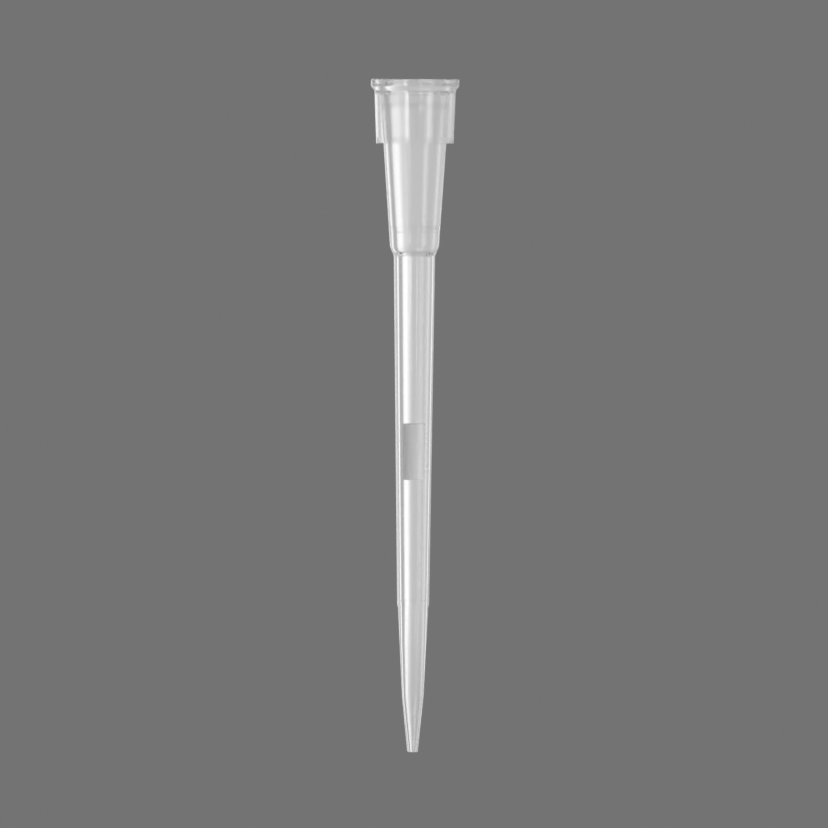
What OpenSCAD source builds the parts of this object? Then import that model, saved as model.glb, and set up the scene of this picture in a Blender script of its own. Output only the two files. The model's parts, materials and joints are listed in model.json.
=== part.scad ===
// Filter tip for a 10 microlitre pipette, extra long: a clear moulded tip body with a porous
// plug pressed into its bore. Sizes are in millimetres. Heights run along the tip's own axis
// from its open point up to its rim, as it is used. Free on a bench the tip can only stand
// turned over, so it is drawn standing on its rim with its point upwards.

/* [Point] */
// Outside diameter at the open end
point_d = 0.73; // [0.6:0.01:0.9]
// Diameter of the orifice
orifice_d = 0.33; // [0.2:0.01:0.45]
// Length of the steep cone next to the open end
nose_length = 3.8; // [3:0.1:5]
// Outside diameter at the top of the steep cone
nose_d = 1.47; // [1.3:0.01:1.7]
// Bore diameter at the top of the steep cone
nose_bore_d = 1.06; // [0.9:0.01:1.15]
// Length of the slender cone above it
lower_length = 6.08; // [5:0.01:7.5]
// Outside diameter at the top of the slender cone
lower_d = 2.06; // [1.9:0.01:2.1]
// Height above the steep cone at which the bore's taper changes
bore_knee_height = 3.7; // [2:0.1:4.8]
// Bore diameter where its taper changes
knee_bore_d = 1.24; // [1.18:0.01:1.26]

/* [Shaft] */
// Height of the small step where the shaft begins
step_height = 0.18; // [0.1:0.01:0.4]
// Outside diameter at the shaft's lower end
shaft_bottom_d = 2.18; // [2.12:0.01:2.4]
// Outside diameter at the shaft's upper end
shaft_top_d = 2.82; // [2.6:0.01:3]
// Length of the shaft
shaft_length = 23.88; // [18:0.01:28]
// Height above the shaft's lower end of a fine step in the bore
bore_step_height = 0.34; // [0.2:0.01:2]
// Width of the fine step in the bore
bore_step_width = 0.01; // [0.005:0.005:0.015]
// Bore diameter just above its fine step
lower_bore_d = 1.3; // [1.3:0.01:1.36]
// Bore diameter at the shaft's upper end
shaft_bore_d = 1.79; // [1.7:0.01:1.9]

/* [Hub] */
// Height of the sloping shoulder between shaft and hub
shoulder_height = 0.61; // [0.4:0.01:0.8]
// Outside diameter at the hub's lower end
hub_bottom_d = 3.34; // [3.2:0.01:3.5]
// Outside diameter of the hub at the top of the gap behind the skirt
hub_top_d = 4.75; // [4.6:0.01:4.8]
// Length from the shoulder to the rim's top face
hub_length = 11.45; // [9:0.01:14]
// Rounding of the shoulder's two edges
shoulder_round = 0.35; // [0.1:0.05:0.4]
// Height of the fine ring line above the shoulder
ring_line_height = 1.02; // [0.7:0.01:2]
// Depth of the fine ring line
ring_line_depth = 0.02; // [0.005:0.005:0.03]

/* [Nozzle socket] */
// Height of the cone between the shaft's bore and the socket
socket_cone_height = 0.5; // [0.4:0.01:0.7]
// Diameter at the bottom of the socket
socket_bottom_d = 2.46; // [2.3:0.01:2.55]
// Diameter at the top of the socket's taper
socket_top_d = 3.54; // [3.4:0.01:3.6]
// Height of the small ledge above the socket's bottom
ledge_height = 1.25; // [0.9:0.01:2.5]
// Width of the small ledge
ledge_width = 0.02; // [0.005:0.005:0.05]
// Diameter of the short straight guide under the mouth
guide_d = 3.7; // [3.64:0.01:3.8]
// Length of the straight guide
guide_length = 0.55; // [0.3:0.05:0.8]
// Height of the cone that leads from the guide into the socket's taper
guide_cone_height = 0.46; // [0.3:0.01:0.6]
// Diameter of the mouth at the rim's top face
mouth_d = 4.5; // [4.2:0.01:4.8]
// Depth of the flared mouth
mouth_depth = 1.05; // [0.8:0.05:1.2]

/* [Collar] */
// Distance from the rim's top face to the skirt's lower edge
skirt_drop = 4.39; // [3.8:0.01:5]
// Outside diameter of the skirt at its lower edge
skirt_bottom_d = 5.29; // [5.2:0.01:5.5]
// Outside diameter of the skirt under the rim
skirt_top_d = 5.55; // [5.45:0.01:5.7]
// Thickness of the skirt's wall at its lower edge
skirt_wall = 0.26; // [0.2:0.01:0.32]
// Distance from the rim's top face to the top of the ring-shaped gap behind the skirt
gap_drop = 0.95; // [0.9:0.01:1.3]
// Width of the gap between skirt and hub, at the gap's top
gap_width = 0.1; // [0.1:0.01:0.2]
// Rounding at the top of the gap
gap_round = 0.04; // [0.02:0.01:0.04]
// Diameter of the rim
rim_d = 6.04; // [5.9:0.01:6.2]
// Height of the rim's upright edge
rim_edge = 0.5; // [0.4:0.01:0.6]
// Height of the rim's sloping underside
rim_slope = 0.28; // [0.15:0.01:0.4]

/* [Filter plug] */
// Height of the plug's lower face above the open end
plug_height = 18.63; // [15:0.01:20]
// Length of the plug
plug_length = 3.83; // [2:0.01:6]
// Bevel at the plug's ends
plug_bevel = 0.04; // [0.01:0.01:0.1]

/* [Hidden] */
$fn = 120;

// Heights of the outside, from the open end up
step_z = nose_length + lower_length;
shaft_z = step_z + step_height;
shoulder_z = shaft_z + shaft_length;
hub_z = shoulder_z + shoulder_height;
top_z = hub_z + hub_length;
skirt_z = top_z - skirt_drop;
rim_z = top_z - rim_edge;
collar_z = rim_z - rim_slope;
gap_z = top_z - gap_drop;

// Heights of the bore
knee_z = nose_length + bore_knee_height;
bore_step_z = shaft_z + bore_step_height;
socket_z = shoulder_z + socket_cone_height;
ledge_z = socket_z + ledge_height;
guide_top_z = top_z - mouth_depth;
guide_z = guide_top_z - guide_length;
taper_z = guide_z - guide_cone_height;

// Small shapes that follow from the rest
ledge_rise = 0.3;
bore_step_rise = 0.1;
ring_line_z = hub_z + ring_line_height;
ring_line_half = 0.06;
skirt_bevel = 0.06;
skirt_bevel_height = 0.4;
point_round = 0.05;
rim_round = 0.15;
rim_top_round = 0.1;
mouth_round = 0.08;

// Radius on a straight taper from (r1, z1) to (r2, z2) at height z
function on_taper(r1, z1, r2, z2, z) = r1 + (r2 - r1) * (z - z1) / (z2 - z1);
function hub_r(z) = on_taper(hub_bottom_d / 2, hub_z, hub_top_d / 2, gap_z, z);
function socket_r(z) = on_taper(socket_bottom_d / 2, socket_z, socket_top_d / 2, taper_z, z);
function shaft_bore_r(z) =
    on_taper(lower_bore_d / 2, bore_step_z, shaft_bore_d / 2, shoulder_z, z);

// The outline's corner b, between a and c, rounded with the radius that b states third
function unit(v) = v / norm(v);
function turned(v, angle) =
    [v.x * cos(angle) - v.y * sin(angle), v.x * sin(angle) + v.y * cos(angle)];
function rounded(a, b, c, steps = 6) =
    let (
        p = [b.x, b.y],
        to_a = unit([a.x, a.y] - p),
        to_c = unit([c.x, c.y] - p),
        half = acos(to_a * to_c) / 2,
        centre = p + unit(to_a + to_c) * b.z / sin(half),
        start = p + to_a * b.z / tan(half) - centre,
        side = cross(to_a, to_c) > 0 ? -1 : 1
    )
    [for (i = [0 : steps]) centre + turned(start, side * (180 - 2 * half) * i / steps)];
function outline(corners) =
    let (n = len(corners))
    [for (i = [0 : n - 1])
        each corners[i].z == 0
            ? [[corners[i].x, corners[i].y]]
            : rounded(corners[(i + n - 1) % n], corners[i], corners[(i + 1) % n])];

// Corners of the body's half section as [radius, height, rounding]: up the outside and
// round the skirt and rim, then down the bore
outside = [
    [point_d / 2, 0, point_round],
    [nose_d / 2, nose_length, 0],
    [lower_d / 2, step_z, 0],
    [shaft_bottom_d / 2, shaft_z, 0],
    [shaft_top_d / 2, shoulder_z, shoulder_round],
    [hub_bottom_d / 2, hub_z, shoulder_round],
    [hub_r(ring_line_z - ring_line_half), ring_line_z - ring_line_half, 0],
    [hub_r(ring_line_z) - ring_line_depth, ring_line_z, 0],
    [hub_r(ring_line_z + ring_line_half), ring_line_z + ring_line_half, 0]
];
collar = [
    [hub_top_d / 2, gap_z, gap_round],
    [hub_top_d / 2 + gap_width, gap_z, gap_round],
    [skirt_bottom_d / 2 - skirt_wall, skirt_z + skirt_bevel_height, 0],
    [skirt_bottom_d / 2 - skirt_wall + skirt_bevel, skirt_z, 0],
    [skirt_bottom_d / 2, skirt_z, 0],
    [skirt_top_d / 2, collar_z, 0],
    [rim_d / 2, rim_z, rim_round],
    [rim_d / 2, top_z, rim_top_round]
];
bore = [
    [mouth_d / 2, top_z, mouth_round],
    [guide_d / 2, guide_top_z, 0],
    [guide_d / 2, guide_z, 0],
    [socket_top_d / 2, taper_z, 0],
    [socket_r(ledge_z + ledge_rise), ledge_z + ledge_rise, 0],
    [socket_r(ledge_z) - ledge_width, ledge_z, 0],
    [socket_bottom_d / 2, socket_z, 0],
    [shaft_bore_d / 2, shoulder_z, 0],
    [lower_bore_d / 2, bore_step_z, 0],
    [lower_bore_d / 2 - bore_step_width, bore_step_z - bore_step_rise, 0],
    [knee_bore_d / 2, knee_z, 0],
    [nose_bore_d / 2, nose_length, 0],
    [orifice_d / 2, 0, 0]
];

// Turns a piece over, so that the rim's face stands on the bench
module standing_on_rim() {
    translate([0, 0, top_z])
        rotate([180, 0, 0])
            children();
}

// Clear tip body, moulded in one piece
module tip_body() {
    color([0.86, 0.87, 0.87, 0.5])
        standing_on_rim()
            rotate_extrude()
                polygon(outline(concat(outside, collar, bore)));
}

// Porous plug that fills the bore face to face
module filter_plug() {
    plug_top = plug_height + plug_length;
    color("whitesmoke")
        standing_on_rim()
            rotate_extrude()
                polygon([
                    [0, plug_height],
                    [shaft_bore_r(plug_height) - plug_bevel, plug_height],
                    [shaft_bore_r(plug_height + plug_bevel), plug_height + plug_bevel],
                    [shaft_bore_r(plug_top - plug_bevel), plug_top - plug_bevel],
                    [shaft_bore_r(plug_top) - plug_bevel, plug_top],
                    [0, plug_top]
                ]);
}

tip_body();
filter_plug();
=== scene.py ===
"""Looks for a clear filter pipette tip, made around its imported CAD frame."""

import json
import math

import bpy
from bpy.props import FloatProperty, FloatVectorProperty, IntProperty, PointerProperty
from mathutils import Matrix, Vector


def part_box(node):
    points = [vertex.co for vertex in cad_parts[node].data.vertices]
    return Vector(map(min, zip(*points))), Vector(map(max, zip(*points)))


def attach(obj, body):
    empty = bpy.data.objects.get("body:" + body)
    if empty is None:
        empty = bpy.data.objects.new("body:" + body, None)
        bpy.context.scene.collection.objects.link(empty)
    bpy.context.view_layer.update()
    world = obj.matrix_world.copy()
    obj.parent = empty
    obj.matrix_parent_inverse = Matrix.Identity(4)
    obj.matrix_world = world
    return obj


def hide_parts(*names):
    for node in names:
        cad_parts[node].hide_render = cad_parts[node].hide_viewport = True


bl_info = {
    "name": "Filter pipette tip",
    "version": (1, 0, 0),
    "blender": (4, 5, 0),
    "location": "View3D > Sidebar > Pipette tip",
    "description": "Turns a clear filter tip from its section, with its porous plug and a plain stage",
    "category": "Add Mesh",
}

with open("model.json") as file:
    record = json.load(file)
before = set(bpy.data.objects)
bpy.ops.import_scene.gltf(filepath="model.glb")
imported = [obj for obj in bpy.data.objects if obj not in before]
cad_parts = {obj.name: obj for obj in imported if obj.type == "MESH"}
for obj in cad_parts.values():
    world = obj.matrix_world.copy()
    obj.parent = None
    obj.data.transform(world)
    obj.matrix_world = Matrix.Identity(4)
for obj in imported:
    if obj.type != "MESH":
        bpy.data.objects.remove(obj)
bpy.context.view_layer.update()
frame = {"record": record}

MM = 0.001
# Light that is caught inside the clear wall needs this many bounces to come out
LIGHT_BOUNCES = 48
TIP_LOW, TIP_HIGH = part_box("tip_body")
PLUG_LOW, PLUG_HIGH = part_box("filter_plug")
LENGTH = TIP_HIGH.z - TIP_LOW.z
MOUNTS = {mount["name"]: mount for mount in frame["record"]["mounts"]}
GUIDE = MOUNTS["nozzle_guide"]
SKIRT = MOUNTS["skirt_edge"]


# ---------------------------------------------------------------- settings


def length(name, description, millimetres):
    """A length that a user may change, stated here in millimetres."""
    return FloatProperty(name=name, description=description, default=millimetres * MM,
                         min=0, precision=5, subtype="DISTANCE", unit="LENGTH")


def amount(name, description, default, high=1.0):
    """A plain number that a user may change."""
    return FloatProperty(name=name, description=description, default=default, min=0, max=high)


def turn(name, description, degrees):
    """An angle that a user may change, stated here in degrees."""
    return FloatProperty(name=name, description=description, default=math.radians(degrees),
                         subtype="ANGLE", unit="ROTATION")


def colour(name, description, default):
    """A colour that a user may change."""
    return FloatVectorProperty(name=name, description=description, default=default,
                               size=3, min=0, max=1, subtype="COLOR")


class OutsideSizes(bpy.types.PropertyGroup):
    """Sizes of the tip's outside; heights run from the open point up to the rim."""

    point_d: length("Point", "Outside diameter at the open end", 0.73)
    nose_length: length("Nose length", "Length of the steep cone next to the open end", 3.8)
    nose_d: length("Nose", "Outside diameter at the top of the steep cone", 1.47)
    lower_length: length("Lower length", "Length of the slender cone above the nose", 6.08)
    lower_d: length("Lower cone", "Outside diameter at the top of the slender cone", 2.06)
    step_height: length("Step height", "Height of the small step where the shaft begins", 0.18)
    shaft_bottom_d: length("Shaft bottom", "Outside diameter at the shaft's lower end", 2.18)
    shaft_top_d: length("Shaft top", "Outside diameter at the shaft's upper end", 2.82)
    shaft_length: length("Shaft length", "Length of the shaft", 23.88)
    shoulder_height: length("Shoulder", "Height of the slope between shaft and hub", 0.61)
    shoulder_round: length("Shoulder rounding", "Rounding of the shoulder's two edges", 0.35)
    hub_bottom_d: length("Hub bottom", "Outside diameter at the hub's lower end", 3.34)
    hub_top_d: length("Hub top", "Outside diameter of the hub at the top of the gap", 4.75)
    ring_line_height: length("Ring line", "Height of the fine ring line above the shoulder", 1.02)
    ring_line_depth: length("Ring line depth", "Depth of the fine ring line", 0.02)


class CollarSizes(bpy.types.PropertyGroup):
    """Sizes of the skirt, the gap behind it and the rim."""

    skirt_bottom_d: length("Skirt bottom", "Outside diameter of the skirt's lower edge", 5.29)
    skirt_top_d: length("Skirt top", "Outside diameter of the skirt under the rim", 5.55)
    skirt_wall: length("Skirt wall", "Thickness of the skirt at its lower edge", 0.26)
    gap_drop: length("Gap drop", "Distance from the rim's face to the top of the gap", 0.95)
    gap_width: length("Gap", "Width of the gap between skirt and hub at its top", 0.1)
    rim_edge: length("Rim edge", "Height of the rim's upright edge", 0.5)
    rim_slope: length("Rim slope", "Height of the rim's sloping underside", 0.28)


class BoreSizes(bpy.types.PropertyGroup):
    """Sizes of the bore, from the orifice up to the mouth."""

    orifice_d: length("Orifice", "Diameter of the orifice", 0.33)
    nose_bore_d: length("Nose bore", "Bore diameter at the top of the steep cone", 1.06)
    knee_height: length("Knee height", "Height above the nose of the change in taper", 3.7)
    knee_bore_d: length("Knee bore", "Bore diameter where its taper changes", 1.24)
    step_height: length("Fine step", "Height of the fine step above the shaft's lower end", 0.34)
    step_width: length("Fine step width", "Width of the fine step in the bore", 0.01)
    lower_bore_d: length("Lower bore", "Bore diameter just above its fine step", 1.3)
    shaft_bore_d: length("Shaft bore", "Bore diameter at the shaft's upper end", 1.79)
    cone_height: length("Cone height", "Height of the cone under the socket", 0.5)
    socket_bottom_d: length("Socket bottom", "Diameter at the bottom of the socket", 2.46)
    socket_top_d: length("Socket top", "Diameter at the top of the socket's taper", 3.54)
    socket_round: length("Socket rounding", "Rounding of the corner at the socket's bottom", 1.0)
    cone_round: length("Cone rounding", "Rounding of the corner where the cone meets the shaft", 0.4)
    ledge_height: length("Ledge", "Height of the small ledge above the socket's bottom", 1.25)
    ledge_width: length("Ledge width", "Width of the small ledge", 0.02)
    guide_cone_height: length("Guide cone", "Height of the cone under the guide", 0.46)
    mouth_d: length("Mouth", "Diameter of the mouth at the rim's face", 4.5)


class Finish(bpy.types.PropertyGroup):
    """Colours and surface of the two plastics."""

    body_colour: colour("Clear plastic", "Colour of the clear polypropylene", (0.985, 0.985, 0.985))
    # Painted shade: the clear plastic's colour is made darker towards the open point, standing in for
    # the dimmer light there.
    painted_point_shade: amount("Point tint", "Brightness of the thin plastic at the open point", 0.93)
    clearness: amount("Clearness", "Share of light that passes a surface unscattered", 0.995)
    body_roughness: amount("Gloss roughness", "Roughness of the moulded surface", 0.11)
    body_index: amount("Refractive index", "Refractive index of polypropylene", 1.49, 3)
    body_wave: length("Mould marks", "Height of the faint marks along the moulding", 0.0004)
    plug_colour: colour("Porous plastic", "Colour of the porous polyethylene", (0.97, 0.97, 0.965))
    plug_depth: length("Light depth", "How deep light spreads in the porous plug", 0.3)
    grain_size: length("Grain size", "Size of the plug's sintered grains", 0.09)
    grain_depth: length("Grain depth", "Height of the grains on the plug's surface", 0.024)
    grain_seed: IntProperty(name="Grain seed", description="Seed of the grains", default=7)
    segments: IntProperty(name="Segments", description="Faces around the tip", default=256)
    plug_segments: IntProperty(name="Plug segments", description="Faces around the plug",
                               default=224)


class StageSettings(bpy.types.PropertyGroup):
    """The plain floor, the soft light and the camera."""

    floor_colour: colour("Floor", "Colour of the plain floor", (0.82, 0.82, 0.82))
    floor_size: length("Floor size", "Side of the square floor", 40000)
    backdrop: amount("Backdrop", "Brightness of the backdrop as the camera sees it", 0.1714)
    fill: amount("Fill light", "Brightness of the soft light from all round", 0.53, 10)
    fill_lean: amount("Fill lean", "How much brighter the fill is on the key light's side", 0.1)
    front: amount("Front fill", "How much brighter the fill is from the camera's side", 0.35, 10)
    falloff: amount("Falloff", "How much of the fill is lost with height", 0.1)
    back: amount("Back panel", "Brightness of the tall panel behind", 0.5, 20)
    spill: amount("Spill", "Brightness of the spill beside the tall panel behind", 0.16, 10)
    flag: amount("Grey flag", "Brightness of the grey flag beside the tall panel", 0.43)
    rim: amount("Rim light", "Brightness of the narrow panel behind on the other side", 0.2, 10)
    key: amount("Key light", "Brightness of the oval soft box in front", 2.2, 20)
    key_bearing: turn("Key bearing", "Bearing of the key light from straight behind", -134)
    key_distance: length("Key distance", "Distance of the soft boxes from the tip", 150)
    key_width: length("Key width", "Width of the key light", 45)
    key_height: length("Key height", "Height of the key light", 84)
    key_middle: length("Key middle", "Height of the key light's middle", 18)
    kicker: amount("Kicker", "Brightness of the small soft box beside the camera", 4, 20)
    kicker_bearing: turn("Kicker bearing", "Bearing of the small soft box", 156)
    kicker_size: length("Kicker size", "Diameter of the small soft box", 27)
    kicker_middle: length("Kicker middle", "Height of the small soft box's middle", 10)
    plug_light: amount("Plug light", "Brightness of the wide soft box that lights the plug", 2.8, 20)
    plug_bearing: turn("Plug bearing", "Bearing of the wide soft box", -140)
    plug_size: length("Plug light size", "Diameter of the wide soft box", 150)
    plug_middle: length("Plug light middle", "Height of the wide soft box's middle", 140)
    camera_distance: length("Camera distance", "Distance from the camera to the tip", 1000)
    camera_height: length("Camera height", "Height of the camera over the floor", 0)
    picture_height: length("Picture height", "Height of the picture at the tip", 56.57)
    picture_margin: length("Picture margin", "Space in the picture beyond the rim", 5.4)
    picture_aside: length("Picture aside", "How far the tip stands from the picture's middle", 0.01)
    lean: turn("Lean", "Lean of the tip in the picture", 0.22)


# ---------------------------------------------------------------- nodes


class Value:
    """A node's socket as a number: an expression on it adds the Math nodes that it needs."""

    def __init__(self, graph, socket):
        self.graph = graph
        self.socket = socket

    def __add__(self, other):
        return self.graph.maths("ADD", self, other)

    def __radd__(self, other):
        return self.graph.maths("ADD", other, self)

    def __sub__(self, other):
        return self.graph.maths("SUBTRACT", self, other)

    def __rsub__(self, other):
        return self.graph.maths("SUBTRACT", other, self)

    def __mul__(self, other):
        return self.graph.maths("MULTIPLY", self, other)

    def __rmul__(self, other):
        return self.graph.maths("MULTIPLY", other, self)

    def __truediv__(self, other):
        return self.graph.maths("DIVIDE", self, other)

    def __mod__(self, other):
        return self.graph.maths("FLOORED_MODULO", self, other)


class Graph:
    """A node tree that nodes are added to."""

    def __init__(self, tree):
        self.tree = tree

    def node(self, kind, settings=None, inputs=None, output=0):
        """Adds a node: its settings first, then the values or links of its sockets."""
        made = self.tree.nodes.new(kind)
        for name, value in (settings or {}).items():
            setattr(made, name, value)
        for key, value in (inputs or {}).items():
            if isinstance(value, Value):
                self.tree.links.new(value.socket, made.inputs[key])
            else:
                made.inputs[key].default_value = value
        return Value(self, made.outputs[output]) if made.outputs else made

    def also(self, value, output):
        """Another output of the node that value comes from."""
        return Value(self, value.socket.node.outputs[output])

    def maths(self, operation, *values):
        """A Math node on numbers."""
        return self.node("ShaderNodeMath", {"operation": operation}, dict(enumerate(values)))

    def add_vectors(self, one, other):
        """The sum of two vectors."""
        return self.node("ShaderNodeVectorMath", {"operation": "ADD"}, {0: one, 1: other})

    def scale_vector(self, vector, share):
        """A vector made longer or shorter."""
        return self.node("ShaderNodeVectorMath", {"operation": "SCALE"},
                         {0: vector, "Scale": share})

    def split(self, vector):
        """The three numbers of a vector."""
        first = self.node("ShaderNodeSeparateXYZ", None, {0: vector})
        return first, self.also(first, 1), self.also(first, 2)

    def join(self, x, y, z):
        """A vector of three numbers."""
        return self.node("ShaderNodeCombineXYZ", None, {0: x, 1: y, 2: z})

    def blend(self, factor, one, other):
        """A colour between two colours."""
        return self.node("ShaderNodeMix", {"data_type": "RGBA"}, {0: factor, 6: one, 7: other}, 2)

    def smooth(self, value, start, end):
        """0 before start and 1 after end, with a smooth change between them."""
        return self.node("ShaderNodeMapRange", {"interpolation_type": "SMOOTHSTEP"},
                         {0: value, 1: start, 2: end})


# ---------------------------------------------------------------- turned shapes


def round_outline(corners, closed):
    """Points of an outline with rounded corners, each as (radius, height, normal).

    A corner is (radius, height, rounding). The solid lies to the left of the way that the
    corners run, so a point's normal is to the right.
    """
    widest_step = math.radians(10)
    places = [Vector(corner[:2]) for corner in corners]
    count = len(corners)
    points = []
    for i, (radius, height, rounding) in enumerate(corners):
        if not closed and i in (0, count - 1):
            along = (places[1] - places[0]) if i == 0 else (places[-1] - places[-2])
            points.append((radius, height, (along.normalized().y, -along.normalized().x)))
            continue
        before = (places[i] - places[i - 1]).normalized()
        after = (places[(i + 1) % count] - places[i]).normalized()
        angle = math.atan2(before.x * after.y - before.y * after.x, before.dot(after))
        start = places[i] - before * rounding * math.tan(abs(angle) / 2)
        side = math.copysign(1, angle)
        centre = start + Vector((-before.y, before.x)) * side * rounding
        steps = max(2, math.ceil(abs(angle) / widest_step))
        for step in range(steps + 1):
            way = Matrix.Rotation(angle * step / steps, 2) @ before
            normal = Vector((way.y, -way.x))
            place = centre + normal * side * rounding
            points.append((place.x, place.y, tuple(normal)))
    return points


def turning_tree():
    """A node tree that turns an outline about Z, with grains on its surface if asked."""
    finest_grain, grain_blend, grain_level = 0.001 * MM, 0.4, 0.35
    merge_distance = 1e-7
    tree = bpy.data.node_groups.new("Turn about the axis", "GeometryNodeTree")
    tree.is_modifier = True
    tree.interface.new_socket("Outline", in_out="INPUT", socket_type="NodeSocketGeometry")
    for name, kind in (("Segments", "Int"), ("Closed", "Int"), ("Grain size", "Float"),
                       ("Grain depth", "Float"), ("Seed", "Int"), ("Material", "Material")):
        tree.interface.new_socket(name, in_out="INPUT", socket_type="NodeSocket" + kind)
    tree.interface.new_socket("Turned", in_out="OUTPUT", socket_type="NodeSocketGeometry")

    graph = Graph(tree)
    outline = graph.node("NodeGroupInput")
    segments, closed, grain_size, grain_depth, seed, material = (
        graph.also(outline, i) for i in range(1, 7))

    points = graph.node("GeometryNodeAttributeDomainSize", {"component": "MESH"}, {0: outline})
    rows = points + closed
    grid = graph.node("GeometryNodeMeshGrid", None,
                      {"Vertices X": segments + 1, "Vertices Y": rows})
    index = graph.node("GeometryNodeInputIndex")
    row = (index % rows) % points
    # The half keeps a rounding error from moving a vertex to the column before its own
    angle = graph.maths("FLOOR", (index + 0.5) / rows) / segments * math.tau

    def around(field):
        """A vector field of the outline, carried round to this vertex."""
        sampled = graph.node("GeometryNodeSampleIndex",
                             {"data_type": "FLOAT_VECTOR", "domain": "POINT"},
                             {"Geometry": outline, "Value": field, "Index": row})
        return graph.node("ShaderNodeVectorRotate", {"rotation_type": "Z_AXIS"},
                          {"Vector": sampled, "Angle": angle})

    place = around(graph.node("GeometryNodeInputPosition"))
    slope = around(graph.node("GeometryNodeInputNamedAttribute",
                              {"data_type": "FLOAT_VECTOR"}, {"Name": "slope"}))

    frequency = graph.maths("DIVIDE", 1, graph.maths("MAXIMUM", grain_size, finest_grain))
    moved = graph.add_vectors(place, graph.join(seed * MM, 0, 0))
    lump = graph.node("ShaderNodeTexVoronoi", {"feature": "SMOOTH_F1"},
                      {"Vector": moved, "Scale": frequency, "Smoothness": grain_blend})
    rise = graph.scale_vector(slope, (grain_level - lump) * grain_depth)
    shaped = graph.node("GeometryNodeSetPosition", None,
                        {"Geometry": grid, "Position": place, "Offset": rise})
    kept = graph.node("GeometryNodeStoreNamedAttribute",
                      {"data_type": "FLOAT_VECTOR", "domain": "POINT"},
                      {"Geometry": shaped, "Name": "turned_normal", "Value": slope})
    joined = graph.node("GeometryNodeMergeByDistance", None,
                        {"Geometry": kept, "Distance": merge_distance})
    smooth = graph.node("GeometryNodeSetShadeSmooth", None, {"Geometry": joined})
    real = graph.node("GeometryNodeRealizeInstances", None, {"Geometry": smooth})
    done = graph.node("GeometryNodeSetMaterial", None, {"Geometry": real, "Material": material})
    graph.node("NodeGroupOutput", None, {0: done})
    return tree


def turn_piece(name, outline, material, **inputs):
    """A mesh object turned from an outline of (radius, height above the floor, normal)."""
    mesh = bpy.data.meshes.new(name)
    mesh.from_pydata([(radius, 0, height) for radius, height, _ in outline], [], [])
    slope = mesh.attributes.new("slope", "FLOAT_VECTOR", "POINT")
    slope.data.foreach_set("vector", [n for _, _, (x, z) in outline for n in (x, 0, z)])
    piece = bpy.data.objects.new(name, mesh)
    bpy.context.scene.collection.objects.link(piece)
    modifier = piece.modifiers.new("Turn", "NODES")
    modifier.node_group = bpy.data.node_groups.get("Turn about the axis") or turning_tree()
    inputs["Material"] = material
    for socket in modifier.node_group.interface.items_tree:
        if socket.in_out == "INPUT" and socket.name in inputs:
            modifier[socket.identifier] = inputs[socket.name]
    evaluated = piece.evaluated_get(bpy.context.evaluated_depsgraph_get())
    turned = bpy.data.meshes.new_from_object(evaluated)
    piece.modifiers.clear()
    piece.data = turned
    bpy.data.meshes.remove(mesh)
    turned.name = name
    return piece


def use_turned_normals(mesh):
    """Shades a plain turned piece with the outline's own normals."""
    stored = mesh.attributes["turned_normal"]
    normals = [0.0] * (3 * len(mesh.vertices))
    stored.data.foreach_get("vector", normals)
    by_vertex = [normals[start:start + 3] for start in range(0, len(normals), 3)]
    mesh.normals_split_custom_set_from_vertices(by_vertex)


def turned_over(points):
    """Outline points with heights from the open point, as the tip stands on its rim."""
    return [(radius, TIP_HIGH.z - height, (x, -z)) for radius, height, (x, z) in reversed(points)]


def on_taper(low, high, height):
    """Radius at a height between two (radius, height) places of a straight taper."""
    return low[0] + (high[0] - low[0]) * (height - low[1]) / (high[1] - low[1])


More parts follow.
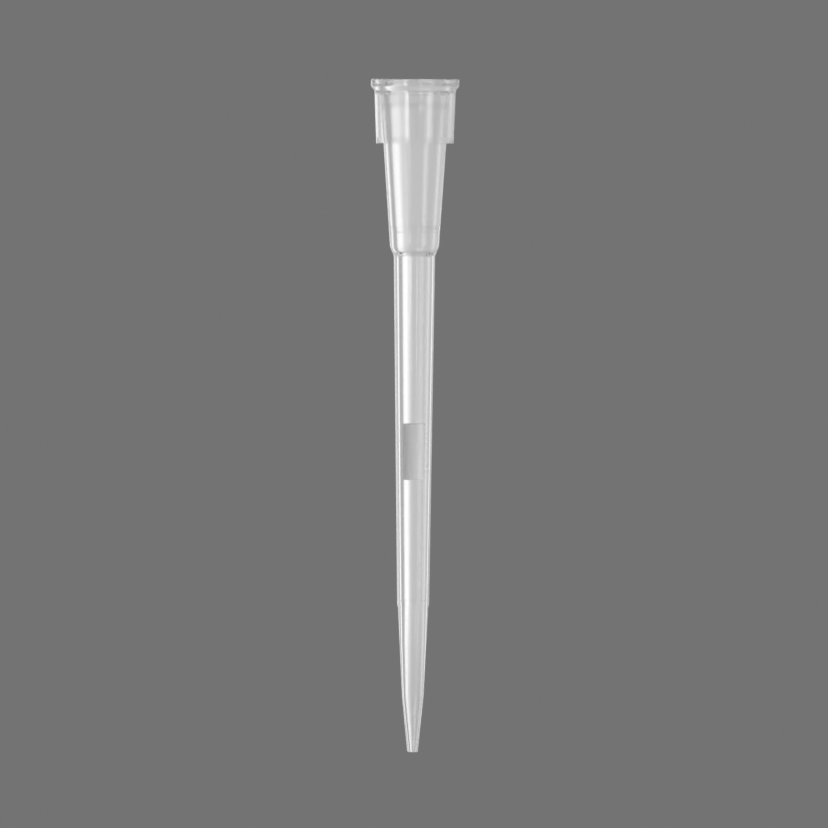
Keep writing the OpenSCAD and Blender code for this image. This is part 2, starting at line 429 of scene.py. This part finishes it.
def tip_corners(outside, collar, bore):
    """Corners of the body's half section: up the outside, round the rim and down the bore."""
    crisp, fine, soft, faint = 0.01 * MM, 0.02 * MM, 0.06 * MM, 0.5 * MM
    point_round, gap_round, mouth_round = 0.1 * MM, 0.04 * MM, 0.08 * MM
    rim_round, rim_top_round = 0.15 * MM, 0.1 * MM
    rim_r = (TIP_HIGH.x - TIP_LOW.x) / 2
    step = outside.nose_length + outside.lower_length
    shaft = step + outside.step_height
    shoulder = shaft + outside.shaft_length
    hub = shoulder + outside.shoulder_height
    skirt = LENGTH - SKIRT["pos_m"][2]
    rim = LENGTH - collar.rim_edge
    under_rim = rim - collar.rim_slope
    guide_r = GUIDE["dims"]["r_mm"] * MM
    guide_half = GUIDE["dims"]["length_mm"] * MM / 2
    guide_middle = LENGTH - GUIDE["pos_m"][2]
    guide_top = guide_middle + guide_half
    guide = guide_middle - guide_half
    taper_top = guide - bore.guide_cone_height
    gap = LENGTH - collar.gap_drop
    knee = outside.nose_length + bore.knee_height
    fine_step = shaft + bore.step_height
    socket = shoulder + bore.cone_height
    ledge = socket + bore.ledge_height
    line = hub + outside.ring_line_height
    line_half = 0.06 * MM
    ledge_rise, step_rise = 0.3 * MM, 0.1 * MM
    skirt_bevel, skirt_bevel_height = 0.06 * MM, 0.4 * MM

    def hub_r(height):
        """Radius of the hub's outside."""
        return on_taper((outside.hub_bottom_d / 2, hub), (outside.hub_top_d / 2, gap), height)

    def socket_r(height):
        """Radius of the socket's taper."""
        return on_taper((bore.socket_bottom_d / 2, socket), (bore.socket_top_d / 2, taper_top),
                        height)

    skirt_in = collar.skirt_bottom_d / 2 - collar.skirt_wall
    return [
        (outside.point_d / 2, 0, point_round),
        (outside.nose_d / 2, outside.nose_length, faint),
        (outside.lower_d / 2, step, soft),
        (outside.shaft_bottom_d / 2, shaft, soft),
        (outside.shaft_top_d / 2, shoulder, outside.shoulder_round),
        (outside.hub_bottom_d / 2, hub, outside.shoulder_round),
        (hub_r(line - line_half), line - line_half, fine),
        (hub_r(line) - outside.ring_line_depth, line, fine),
        (hub_r(line + line_half), line + line_half, fine),
        (outside.hub_top_d / 2, gap, gap_round),
        (outside.hub_top_d / 2 + collar.gap_width, gap, gap_round),
        (skirt_in, skirt + skirt_bevel_height, soft),
        (skirt_in + skirt_bevel, skirt, fine),
        (collar.skirt_bottom_d / 2, skirt, fine),
        (collar.skirt_top_d / 2, under_rim, fine),
        (rim_r, rim, rim_round),
        (rim_r, LENGTH, rim_top_round),
        (bore.mouth_d / 2, LENGTH, mouth_round),
        (guide_r, guide_top, fine),
        (guide_r, guide, soft),
        (bore.socket_top_d / 2, taper_top, soft),
        (socket_r(ledge + ledge_rise), ledge + ledge_rise, fine),
        (socket_r(ledge) - bore.ledge_width, ledge, fine),
        (bore.socket_bottom_d / 2, socket, bore.socket_round),
        (bore.shaft_bore_d / 2, shoulder, bore.cone_round),
        (bore.lower_bore_d / 2, fine_step, fine),
        (bore.lower_bore_d / 2 - bore.step_width, fine_step - step_rise, fine),
        (bore.knee_bore_d / 2, knee, faint),
        (bore.nose_bore_d / 2, outside.nose_length, faint),
        (bore.orifice_d / 2, 0, crisp),
    ]


def plug_outline(bore, shaft, shoulder):
    """Dense points of the plug's half section, so that its surface can carry grains."""
    spacing = 0.021 * MM
    clearance = 0.003 * MM
    edge_round = 0.05 * MM
    low, high = LENGTH - PLUG_HIGH.z, LENGTH - PLUG_LOW.z
    bottom = (bore.lower_bore_d / 2, shaft + bore.step_height)
    top = (bore.shaft_bore_d / 2, shoulder)
    radii = [on_taper(bottom, top, height) - clearance for height in (low, high)]
    corners = [(0, low, 0), (radii[0], low, edge_round), (radii[1], high, edge_round),
               (0, high, 0)]
    rounded = round_outline(corners, closed=False)
    points = []
    for (r0, h0, n0), (r1, h1, _) in zip(rounded, rounded[1:]):
        steps = max(1, round(math.dist((r0, h0), (r1, h1)) / spacing))
        for step in range(steps):
            share = step / steps
            points.append((r0 + (r1 - r0) * share, h0 + (h1 - h0) * share, n0))
    return points + [rounded[-1]]


# ---------------------------------------------------------------- materials


def new_material(name):
    """A new material, its empty graph and the place of a point on the piece."""
    material = bpy.data.materials.new(name)
    material.use_nodes = True
    material.node_tree.nodes.clear()
    graph = Graph(material.node_tree)
    place = graph.node("ShaderNodeTexCoord", None, None, "Object")
    return material, graph, place


def show(graph, inputs):
    """Ends a material's graph in a Principled shader with these inputs."""
    shader = graph.node("ShaderNodeBsdfPrincipled", None, inputs)
    graph.node("ShaderNodeOutputMaterial", None, {"Surface": shader})


def shade_of(plastic, share):
    """A plastic's colour made darker, as a shader's colour."""
    return tuple(share * channel for channel in plastic) + (1,)


def clear_polypropylene(finish):
    """Clear moulded plastic: slightly milky, glossy, with faint marks along the moulding and painted
    shade that darkens it towards the open point.
    """
    mark_width, mark_squeeze = 0.5 * MM, 0.012
    cloud_size, cloud_shade = 1.6 * MM, 0.99
    point_shade_length = 12 * MM
    least_rough, cloud_rough = 0.8, 0.4
    material, graph, place = new_material("clear_polypropylene")
    lengthwise = graph.node("ShaderNodeMapping", None,
                            {"Vector": place, "Scale": (1, 1, mark_squeeze)})
    marks = graph.node("ShaderNodeTexNoise", None,
                       {"Vector": lengthwise, "Scale": 1 / mark_width, "Detail": 2})
    cloud = graph.node("ShaderNodeTexNoise", None,
                       {"Vector": place, "Scale": 1 / cloud_size, "Detail": 3})
    bump = graph.node("ShaderNodeBump", None,
                      {"Strength": 1, "Distance": finish.body_wave, "Height": marks})
    _, _, height = graph.split(place)
    # Painted shade: the colour darkens smoothly over the last 12 mm up to the open point.
    point_shade_mask = graph.smooth(height, LENGTH - point_shade_length, LENGTH)
    clear = graph.blend(cloud, shade_of(finish.body_colour, 1),
                        shade_of(finish.body_colour, cloud_shade))
    point_shade_colour = shade_of(finish.body_colour, finish.painted_point_shade)
    show(graph, {
        "Base Color": graph.blend(point_shade_mask, clear, point_shade_colour),
        "Roughness": finish.body_roughness * (least_rough + cloud_rough * cloud),
        "IOR": finish.body_index,
        "Transmission Weight": finish.clearness,
        "Normal": bump,
    })
    return material


def porous_polyethylene(finish):
    """White sintered plastic: matt grains, with painted shade in the pores between them."""
    pore_width = 0.16
    patch_size = 0.4 * MM
    patch_shade, painted_pore_shade = 0.93, 0.85
    least_rough, patch_rough = 0.85, 0.1
    material, graph, place = new_material("porous_polyethylene")
    grain = graph.node("ShaderNodeTexVoronoi", {"feature": "DISTANCE_TO_EDGE"},
                       {"Vector": place, "Scale": 1 / finish.grain_size})
    above_pore = graph.smooth(grain, 0, pore_width)
    patch = graph.node("ShaderNodeTexNoise", None,
                       {"Vector": place, "Scale": 1 / patch_size, "Detail": 3})
    bump = graph.node("ShaderNodeBump", None,
                      {"Strength": 0.5, "Distance": finish.grain_depth / 2,
                       "Height": above_pore})
    light = graph.blend(patch, shade_of(finish.plug_colour, 1),
                        shade_of(finish.plug_colour, patch_shade))
    # Painted shade: the pores between the grains are coloured darker, as if in shadow.
    shaded_pore_colour = shade_of(finish.plug_colour, painted_pore_shade)
    show(graph, {
        "Base Color": graph.blend(above_pore, shaded_pore_colour, light),
        "Roughness": least_rough + patch_rough * patch,
        "IOR": 1.45,
        "Specular IOR Level": 0.3,
        "Subsurface Weight": 1.0,
        "Subsurface Radius": (1, 1, 1),
        "Subsurface Scale": finish.plug_depth,
        "Normal": bump,
    })
    return material


def plain_floor(stage):
    """Matt pale floor."""
    material, graph, _ = new_material("plain_floor")
    show(graph, {"Base Color": (*stage.floor_colour, 1), "Roughness": 1.0,
                 "Specular IOR Level": 0.0})
    return material


# ---------------------------------------------------------------- stage


def soft_world(stage):
    """Soft light from all round with a tall panel and a grey flag behind.

    A span is a start, an end and the softness of each. Bearings are in degrees from straight
    behind, and a height is how far a ray of unit length rises.
    """
    spill_span, back_span = (3.5, 60, 3, 8), (8.5, 60, 3, 8)
    flag_span, rim_span = (32, 85, 8, 8), (-62, -38, 8, 8)
    low_bar, high_bar = (-0.105, -0.07, 0.01, 0.01), (0.14, 0.22, 0.03, 0.03)
    low_bar_shade, high_bar_shade = 0.6, 0.5
    panel_top = (0.35, 0.45)
    front_edge, falloff_edge, dip_edge = (-0.1, 0.9), (0.14, 0.34), (0.04, 0.07)
    dip = 0.1
    world = bpy.data.worlds.new("soft studio")
    bpy.context.scene.world = world
    world.use_nodes = True
    world.node_tree.nodes.clear()
    graph = Graph(world.node_tree)
    x, y, z = graph.split(graph.node("ShaderNodeTexCoord", None, None, "Generated"))
    bearing = graph.maths("ARCTAN2", x, y)

    def window(value, start, end, start_blur, end_blur):
        """1 between two values, with soft edges."""
        opened = graph.smooth(value, start - start_blur, start + start_blur)
        shut = graph.smooth(value, end - end_blur, end + end_blur)
        return opened * (1 - shut)

    def between(*bearings):
        """1 between two bearings, with soft edges."""
        return window(bearing, *map(math.radians, bearings))

    bars = low_bar_shade * window(z, *low_bar) + high_bar_shade * window(z, *high_bar)
    panels = (1 - graph.smooth(z, *panel_top)) * (1 - bars)
    front = graph.smooth(y * -1, *front_edge)
    dimming = ((1 - stage.falloff * graph.smooth(z, *falloff_edge))
               * (1 - dip * graph.smooth(z, *dip_edge)))
    light = stage.fill * (1 - stage.fill_lean * x) * (1 + stage.front * front) * dimming
    light = light + stage.spill * between(*spill_span) * panels
    light = light + stage.back * between(*back_span) * panels
    light = light - (light - stage.flag) * between(*flag_span)
    light = light + stage.rim * between(*rim_span) * panels
    seen = graph.node("ShaderNodeLightPath", None, None, "Is Camera Ray")
    shade = light * (1 - seen) + stage.backdrop * seen
    background = graph.node("ShaderNodeBackground", None, {"Color": (1, 1, 1, 1), "Strength": shade})
    graph.node("ShaderNodeOutputWorld", None, {"Surface": background})


def softbox(name, brightness, bearing, distance, width, height, middle, mirrored=True):
    """An oval soft box round the tip: its bearing is counted from straight behind."""
    data = bpy.data.lights.new(name, "AREA")
    data.shape = "ELLIPSE"
    data.size, data.size_y = width, height
    area = math.pi * width * height / 4
    data.energy = brightness * math.pi * area
    box = bpy.data.objects.new(name, data)
    outward = Vector((math.sin(bearing), math.cos(bearing), 0))
    box.matrix_world = (Matrix.Translation(outward * distance + Vector((0, 0, middle)))
                        @ (-outward).to_track_quat("-Z", "Y").to_matrix().to_4x4())
    box.visible_camera = False
    box.visible_glossy = mirrored
    bpy.context.scene.collection.objects.link(box)


def studio_lights(stage):
    """The key soft box in front, a small one beside the camera and a wide one for the plug."""
    softbox("key light", stage.key, stage.key_bearing, stage.key_distance,
            stage.key_width, stage.key_height, stage.key_middle)
    softbox("kicker", stage.kicker, stage.kicker_bearing, stage.key_distance,
            stage.kicker_size, stage.kicker_size, stage.kicker_middle)
    softbox("plug light", stage.plug_light, stage.plug_bearing, stage.key_distance,
            stage.plug_size, stage.plug_size, stage.plug_middle, mirrored=False)


def floor_object(stage):
    """A plain square floor under the rim."""
    half = stage.floor_size / 2
    mesh = bpy.data.meshes.new("floor")
    mesh.from_pydata([(-half, -half, 0), (half, -half, 0), (half, half, 0), (-half, half, 0)],
                     [], [(0, 1, 2, 3)])
    mesh.materials.append(plain_floor(stage))
    floor = bpy.data.objects.new("floor", mesh)
    # The clear plastic shows and mirrors the soft light where the floor would be
    floor.visible_transmission = floor.visible_glossy = False
    bpy.context.scene.collection.objects.link(floor)
    return floor


def set_camera(stage):
    """A long lens near floor level, turned over so that the rim is at the picture's top."""
    data = bpy.data.cameras.new("camera")
    data.lens = data.sensor_width * stage.camera_distance / stage.picture_height
    nearest, farthest = 0.01, 100
    data.clip_start, data.clip_end = nearest, farthest
    camera = bpy.data.objects.new("camera", data)
    bpy.context.scene.collection.objects.link(camera)
    bpy.context.scene.camera = camera
    middle = stage.picture_height / 2 - stage.picture_margin
    aim = Vector((-stage.picture_aside, 0, middle))
    place = Vector((-stage.picture_aside, -stage.camera_distance, stage.camera_height))
    back = (place - aim).normalized()
    up = Matrix.Rotation(stage.lean, 3, back) @ Vector((0, 0, -1))
    right = up.cross(back).normalized()
    up = back.cross(right)
    camera.matrix_world = Matrix.Translation(place) @ Matrix((right, up, back)).transposed().to_4x4()


# ---------------------------------------------------------------- add-on


def finish_piece(piece, node):
    """Hangs a piece on the root body and hides the CAD part that it stands for."""
    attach(piece, "root")
    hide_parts(node)


class PIPETTE_TIP_OT_body(bpy.types.Operator):
    """Turn the clear tip body from its section."""

    bl_idname = "pipette_tip.body"
    bl_label = "Tip body"

    def execute(self, context):
        scene = context.scene
        corners = tip_corners(scene.tip_outside, scene.tip_collar, scene.tip_bore)
        outline = turned_over(round_outline(corners, closed=True))
        piece = turn_piece("clear_tip_body", outline, clear_polypropylene(scene.tip_finish),
                           Segments=scene.tip_finish.segments, Closed=1)
        use_turned_normals(piece.data)
        finish_piece(piece, "tip_body")
        return {"FINISHED"}


class PIPETTE_TIP_OT_plug(bpy.types.Operator):
    """Turn the porous plug and give it its grains."""

    bl_idname = "pipette_tip.plug"
    bl_label = "Filter plug"

    def execute(self, context):
        scene = context.scene
        outside = scene.tip_outside
        finish = scene.tip_finish
        shaft = outside.nose_length + outside.lower_length + outside.step_height
        outline = turned_over(plug_outline(scene.tip_bore, shaft, shaft + outside.shaft_length))
        piece = turn_piece("porous_filter_plug", outline, porous_polyethylene(finish),
                           **{"Segments": finish.plug_segments, "Closed": 0,
                              "Grain size": finish.grain_size,
                              "Grain depth": finish.grain_depth, "Seed": finish.grain_seed})
        finish_piece(piece, "filter_plug")
        return {"FINISHED"}


class PIPETTE_TIP_OT_stage(bpy.types.Operator):
    """Lay the floor, set the soft light and place the camera."""

    bl_idname = "pipette_tip.stage"
    bl_label = "Stage"

    def execute(self, context):
        stage = context.scene.tip_stage
        context.scene.view_settings.view_transform = "Standard"
        cycles = context.scene.cycles
        cycles.max_bounces = cycles.glossy_bounces = cycles.transmission_bounces = LIGHT_BOUNCES
        floor_object(stage)
        soft_world(stage)
        studio_lights(stage)
        set_camera(stage)
        return {"FINISHED"}


class VIEW3D_PT_pipette_tip(bpy.types.Panel):
    """Sidebar panel with the settings and one button for each operator."""

    bl_label = "Pipette tip"
    bl_idname = "VIEW3D_PT_pipette_tip"
    bl_space_type = "VIEW_3D"
    bl_region_type = "UI"
    bl_category = "Pipette tip"

    def draw(self, context):
        for name, group in SETTINGS.items():
            settings = getattr(context.scene, name)
            for key in group.__annotations__:
                self.layout.prop(settings, key)
        for operator in OPERATORS:
            self.layout.operator(operator.bl_idname)


SETTINGS = {"tip_outside": OutsideSizes, "tip_collar": CollarSizes, "tip_bore": BoreSizes,
            "tip_finish": Finish, "tip_stage": StageSettings}
OPERATORS = (PIPETTE_TIP_OT_body, PIPETTE_TIP_OT_plug, PIPETTE_TIP_OT_stage)


def register():
    """Adds the settings, the operators and the panel."""
    for cls in (*SETTINGS.values(), *OPERATORS, VIEW3D_PT_pipette_tip):
        bpy.utils.register_class(cls)
    for name, group in SETTINGS.items():
        setattr(bpy.types.Scene, name, PointerProperty(type=group))


def unregister():
    """Takes the settings, the operators and the panel away again."""
    for name in SETTINGS:
        delattr(bpy.types.Scene, name)
    for cls in (VIEW3D_PT_pipette_tip, *reversed(OPERATORS), *reversed(SETTINGS.values())):
        bpy.utils.unregister_class(cls)


def main():
    """Makes both pieces and the stage."""
    register()
    bpy.ops.pipette_tip.body()
    bpy.ops.pipette_tip.plug()
    bpy.ops.pipette_tip.stage()


if __name__ == "__main__":
    main()
